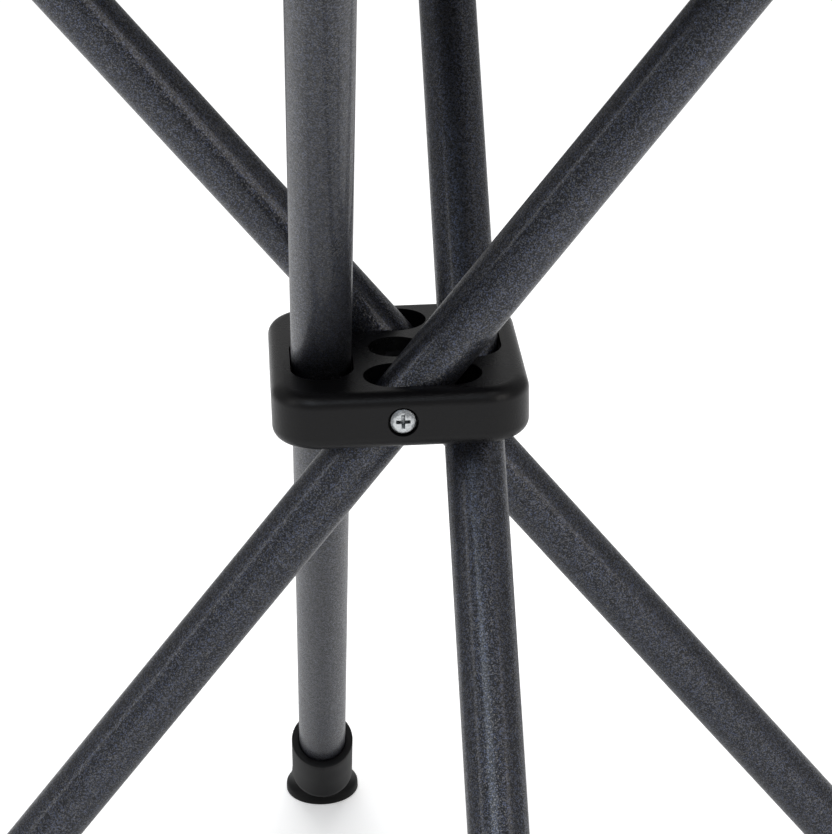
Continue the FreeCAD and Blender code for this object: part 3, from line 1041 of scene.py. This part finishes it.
def cloth_pocket(index, side, rings):
    turn = side_turn(index)
    verts = [turn @ p for ring in rings for p in ring]
    uvs = []
    for ring in rings:
        for k, point in enumerate(ring):
            along = (point - PIVOT).dot(LEG_DIR)
            uvs.append((POCKET_R * 2 * math.pi * min(k, POCKET_AROUND - k) / POCKET_AROUND, along))
    piece = new_piece(f"cloth_pocket_{side}", verts, ring_faces(len(rings), POCKET_AROUND), CLOTH,
                      f"leg_{side}", uvs)
    consistent(piece)
    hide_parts(f"seat_pocket_{side}")


def pocket_point(turn, distance):
    way = LEG_DOWN_SIDE * math.cos(turn) + SIDEWAYS * math.sin(turn)
    point = PIVOT + LEG_DIR * distance + way * (pocket_outer_radius(turn, distance) + 0.04 * MM)
    return np.array(point), np.array(way)


def pocket_stitching(index, side):
    maker = StitchMaker()
    for inset in POCKET_STITCH_INSETS:
        distance = POCKET_MOUTH + inset
        maker.row(lambda s, d=distance: pocket_point(s / POCKET_R, d), 2 * math.pi * POCKET_R)
    for middle in (math.pi / 2, -math.pi / 2):
        for beside in (-0.24, 0.24):
            start = POCKET_MOUTH + POCKET_HEM + 1 * MM
            maker.row(lambda s, t=middle + beside: pocket_point(t, start + s), 34 * MM)
    turn = np.array(side_turn(index))[:3, :3]
    maker.verts = [turn @ v for v in maker.verts]
    return maker.piece(f"pocket_stitching_{side}", f"leg_{side}")


def tab_half_width(share):
    """The tab narrows towards the pocket it is sewn to."""
    return TAB_HALF_WIDTH * (1 - 0.36 * float(smooth_step(share, 0.25, 1.0)))


def tab_point(surface, side, way_out, share, across, below, lift):
    """Point of a corner tab, its normal and its flat place: share runs from the patch to the pocket."""
    axis_out = SEAT_DIAGONAL - (SEAT_CORNER.z - HINGE.z) * math.tan(LEAN)
    hug = math.sqrt(1 - (across / POCKET_R) ** 2)
    end = axis_out - (POCKET_R - 0.35 * MM) / math.cos(LEAN) * hug
    out = (SEAM_OUT - TAB_LENGTH) * (1 - share) + end * share
    p, q = corner_place(side, min(out, SEAM_OUT), across)
    base, normal = cloth_face(surface, p, q, below)
    extra = max(out - SEAM_OUT, 0)
    return base + way_out * extra + normal * lift, normal, (p + extra, q)


def corner_tab(surface, index, side):
    """Cloth tabs, over and under, that join the seat's corner to its pocket."""
    way_out = np.array(side_turn(index) @ Vector((math.cos(SEAT_TURN), math.sin(SEAT_TURN), 0)))
    shares = np.concatenate([[0, 0.012, 0.035], np.linspace(0.08, 1, 22)])
    lines = np.concatenate([[-1, -0.97, -0.91], np.linspace(-0.8, 0.8, 13), [0.91, 0.97, 1]])
    pieces = []
    for below in (False, True):
        outer, inner, places = [], [], []
        for share in shares:
            width = tab_half_width(share)
            for line in lines:
                margin = min((1 - abs(line)) * width, share * TAB_LENGTH)
                stand = PATCH_THICKNESS * rolled(margin, PATCH_EDGE_ROUND)
                top, normal, place = tab_point(surface, side, way_out, float(share), float(line * width),
                                               below, TAB_LIFT + stand)
                outer.append(top)
                inner.append(top - normal * stand)
                places.append(place)
        where = "under" if below else "over"
        pieces.append(strip_piece(f"corner_tab_{where}_{side}", side, CLOTH, outer, inner, places,
                                  len(lines)))
    maker = StitchMaker()

    def tab_face(share, across):
        return tab_point(surface, side, way_out, share, across * MM, False, TAB_STITCH_LIFT)[:2]
    for start, end in (((0.16, -7.4), (0.16, 7.4)), ((0.62, -6.2), (0.62, 6.2)),
                       ((0.16, -7.4), (0.62, -6.2)), ((0.16, 7.4), (0.62, 6.2))):
        length = float(np.linalg.norm(tab_face(*end)[0] - tab_face(*start)[0]))
        maker.row(straight_line(tab_face, start, end, length), length)
    pieces.append(maker.piece(f"tab_stitching_{side}", f"seat_{side}"))
    return pieces


def build_seat():
    surface = SeatSurface(relaxed_seat())
    flat = quarter_flat_mesh()
    for index, side in enumerate(SIDES):
        cloth = seat_quarter(surface, side, flat)
        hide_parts(f"seat_quarter_{side}")
        patches = [corner_patch(surface, side, below) for below in (False, True)]
        stitching = seat_stitching(surface, side)
        for piece in [cloth, stitching] + patches:
            fold_with_seat(piece, side, *FOLD_CLOTH)
        tab_over, tab_under, tab_stitching = corner_tab(surface, index, side)
        fold_with_seat(tab_over, side, *FOLD_TAB_OVER)
        fold_with_seat(tab_under, side, *FOLD_TAB_UNDER)
        fold_with_seat(tab_stitching, side, *FOLD_TAB_OVER)


# ---------------- studio

FLOOR_HALF = 30.0
LIGHTS_AIM = (0, 0, 0.25)

def soft_light(name, place, target, width, height, power, colour=(1, 1, 1)):
    data = bpy.data.lights.new(name, "AREA")
    data.shape = "RECTANGLE"
    data.size, data.size_y = width, height
    data.energy = power
    data.color = colour
    light = new_object(name, data)
    light.location = place
    light.rotation_euler = (Vector(target) - light.location).to_track_quat("-Z", "Y").to_euler()


def pale_floor():
    half = FLOOR_HALF
    mesh = new_mesh("floor", [(-half, -half, 0), (half, -half, 0), (half, half, 0), (-half, half, 0)],
                    [(0, 1, 2, 3)])
    floor = new_object("floor", mesh)
    material, w, shader = start_material("pale studio floor", (0.92, 0.92, 0.92), Roughness=0.75,
                                         Emission_Color=(1, 1, 1, 1))
    place = w.object_place()
    colour = w.blend_colour(w.noise(place, 3.0, 3.0), (0.915, 0.915, 0.915, 1), (0.93, 0.93, 0.93, 1))
    seen = w.add("ShaderNodeLightPath").outputs["Is Camera Ray"]
    w.feed(shader, Base_Color=colour, Emission_Strength=w.blend_value(seen, 0.04, 0.36))
    mesh.materials.append(material)


def studio():
    pale_floor()
    world = bpy.data.worlds.new("studio")
    world.use_nodes = True
    background = world.node_tree.nodes["Background"]
    background.inputs[0].default_value = (1.0, 1.0, 1.0, 1)
    w = Wiring(world.node_tree)
    seen = w.add("ShaderNodeLightPath").outputs["Is Camera Ray"]
    w.join(w.blend_value(seen, 0.40, 0.74), background.inputs[1])
    bpy.context.scene.world = world
    soft_light("overhead softbox", (0.0, -0.2, 2.2), LIGHTS_AIM, 1.5, 1.5, 37)
    soft_light("left panel", (-1.5, -0.5, 0.85), LIGHTS_AIM, 0.28, 1.2, 3)
    soft_light("cool key", (-0.5, -1.25, 1.45), LIGHTS_AIM, 0.9, 0.35, 5, (0.80, 0.89, 1.0))
    soft_light("warm fill", (1.2, -1.1, 0.8), LIGHTS_AIM, 0.6, 1.0, 5, (1.0, 0.96, 0.92))
    bpy.context.scene.view_settings.view_transform = "Standard"
    bpy.context.scene.view_settings.look = "None"


CAMERA_PLACE = (-0.03593, -0.71171, 0.53113)
CAMERA_TURN = math.radians(-3.310)
CAMERA_TILT = math.radians(23.105)
CAMERA_ROLL = math.radians(-1.04)
CAMERA_LENS = 123.9


def camera():
    data = bpy.data.cameras.new("camera")
    data.lens = CAMERA_LENS
    data.sensor_width = 36
    data.clip_start = 0.05
    camera_object = new_object("camera", data)
    camera_object.location = CAMERA_PLACE
    turned = Matrix.Rotation(CAMERA_TURN, 3, "Z") @ Matrix.Rotation(math.pi / 2 - CAMERA_TILT, 3, "X")
    camera_object.rotation_euler = (turned @ Matrix.Rotation(CAMERA_ROLL, 3, "Z")).to_euler()
    bpy.context.scene.camera = camera_object


# ---------------- build

finish_cad_nodes()
foot_rings = foot_points()
sleeve_rings = pocket_rings()
for number, side_name in enumerate(SIDES):
    rubber_foot(number, side_name, foot_rings)
    cloth_pocket(number, side_name, sleeve_rings)
    pocket_stitching(number, side_name)
pivot_screws()
build_seat()
studio()
camera()
